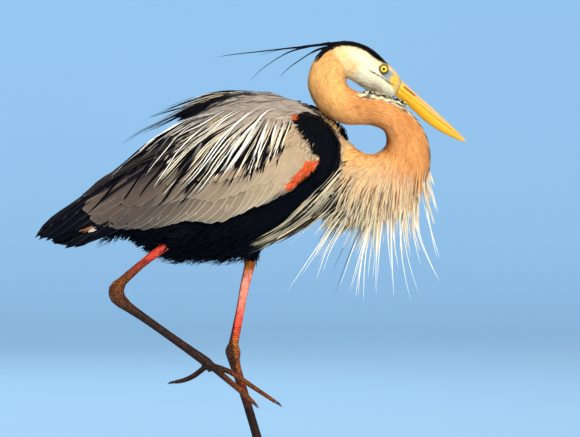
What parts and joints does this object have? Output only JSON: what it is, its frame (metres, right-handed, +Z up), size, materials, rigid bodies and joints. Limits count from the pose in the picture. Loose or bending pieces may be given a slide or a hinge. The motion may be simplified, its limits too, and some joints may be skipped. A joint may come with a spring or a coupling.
{
  "type": "great blue heron model",
  "caption": "Life-size great blue heron in breeding plumage, striding on one leg with its neck folded in an S, on a flat wooden base.",
  "frame": {"origin": "middle of the underside of the whole model, on the floor under the display base", "axes": "+X the way the bird faces, +Y its left side, +Z up"},
  "size_m": [0.6665, 0.21, 0.6852],
  "materials": {
    "plumage_buff": "soft feathers",
    "plumage_white": "soft feathers",
    "plumage_black": "soft feathers",
    "plumage_grey": "smooth feathers",
    "flight_feathers": "stiff satin feathers",
    "bill": "satin horn",
    "eye": "wet gloss",
    "leg_red": "scaled skin",
    "leg_brown": "scaled skin",
    "claw": "horn",
    "stand_wood": "oiled wood"
  },
  "bodies": {
    "root": {"neck_lower": "plumage_buff", "neck_front": "plumage_buff", "neck_middle": "plumage_buff", "neck_upper": "plumage_buff", "head": "plumage_white", "breast_plumes": "plumage_white", "trunk": "plumage_black", "thigh_left": "plumage_black", "thigh_right": "plumage_black", "shoulder_left": "plumage_black", "shoulder_right": "plumage_black", "wing_left": "plumage_grey", "wing_right": "plumage_grey", "wing_tip_left": "flight_feathers", "wing_tip_right": "flight_feathers", "tail": "flight_feathers", "back_plumes": "flight_feathers", "crest_1": "flight_feathers", "crest_2": "flight_feathers", "crest_3": "flight_feathers", "crest_4": "flight_feathers", "bill_upper": "bill", "bill_lower": "bill", "eye_left": "eye", "eye_right": "eye", "shin_left": "leg_red", "shin_right": "leg_red", "tarsus_left": "leg_brown", "tarsus_right": "leg_brown", "middle_toe_left": "leg_brown", "middle_toe_right": "leg_brown", "inner_toe_left": "leg_brown", "inner_toe_right": "leg_brown", "outer_toe_left": "leg_brown", "outer_toe_right": "leg_brown", "hallux_toe_left": "leg_brown", "hallux_toe_right": "leg_brown", "middle_claw_left": "claw", "middle_claw_right": "claw", "inner_claw_left": "claw", "inner_claw_right": "claw", "outer_claw_left": "claw", "outer_claw_right": "claw", "hallux_claw_left": "claw", "hallux_claw_right": "claw", "stand_base": "stand_wood"}
  },
  "joints": []
}
